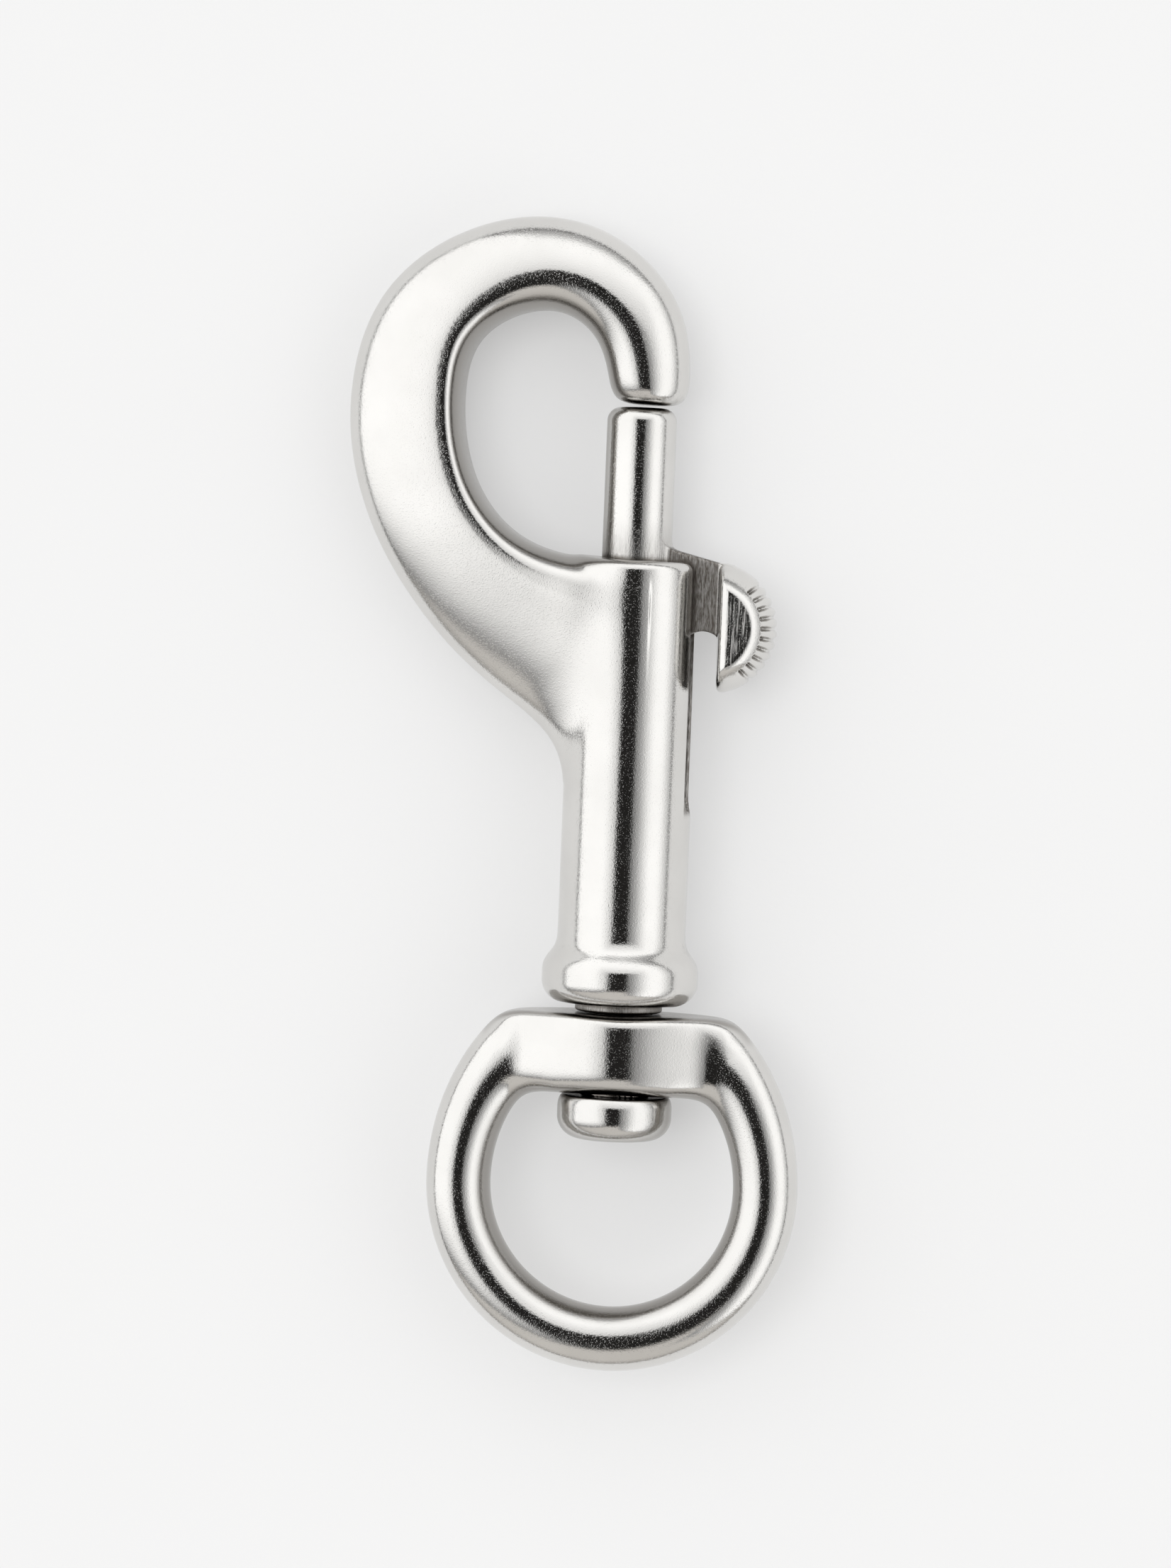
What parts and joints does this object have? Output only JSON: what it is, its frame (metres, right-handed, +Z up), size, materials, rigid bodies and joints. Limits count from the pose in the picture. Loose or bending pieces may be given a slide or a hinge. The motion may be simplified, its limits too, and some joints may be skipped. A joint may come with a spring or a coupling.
{
  "type": "swivel snap hook",
  "caption": "Swivel snap hook: cast hook and barrel, a sprung bolt with a ribbed thumb pad that closes the hook, and a round eye that turns on a rivet.",
  "frame": {"origin": "middle of the eye's round opening, on the barrel's axis", "axes": "+Y along the barrel from the eye towards the hook, tipped 1.9 degrees down as the part lies; +X towards the thumb pad; +Z up from the floor that it lies on"},
  "size_m": [0.0368, 0.0885, 0.0118],
  "materials": {
    "plated_metal": "polished nickel plating over a casting",
    "spring_steel": "drawn wire"
  },
  "bodies": {
    "casting": {"body": "plated_metal", "swivel_pin": "plated_metal", "spring": "spring_steel"},
    "bolt": {"bolt": "plated_metal"},
    "eye": {"eye": "plated_metal"}
  },
  "joints": [
    {"name": "bolt_slide", "type": "slide", "parent": "casting", "child": "bolt", "axis": [0, -0.9995, 0.0332], "range_m": [0, 0.0125], "stiffness_N_per_m": 450, "springref_m": -0.006, "deforming": ["spring"]},
    {"name": "eye_spin", "type": "hinge", "parent": "casting", "child": "eye", "pos_m": [0, 0, 0], "axis": [0, 0.9995, -0.0332], "continuous": true}
  ]
}
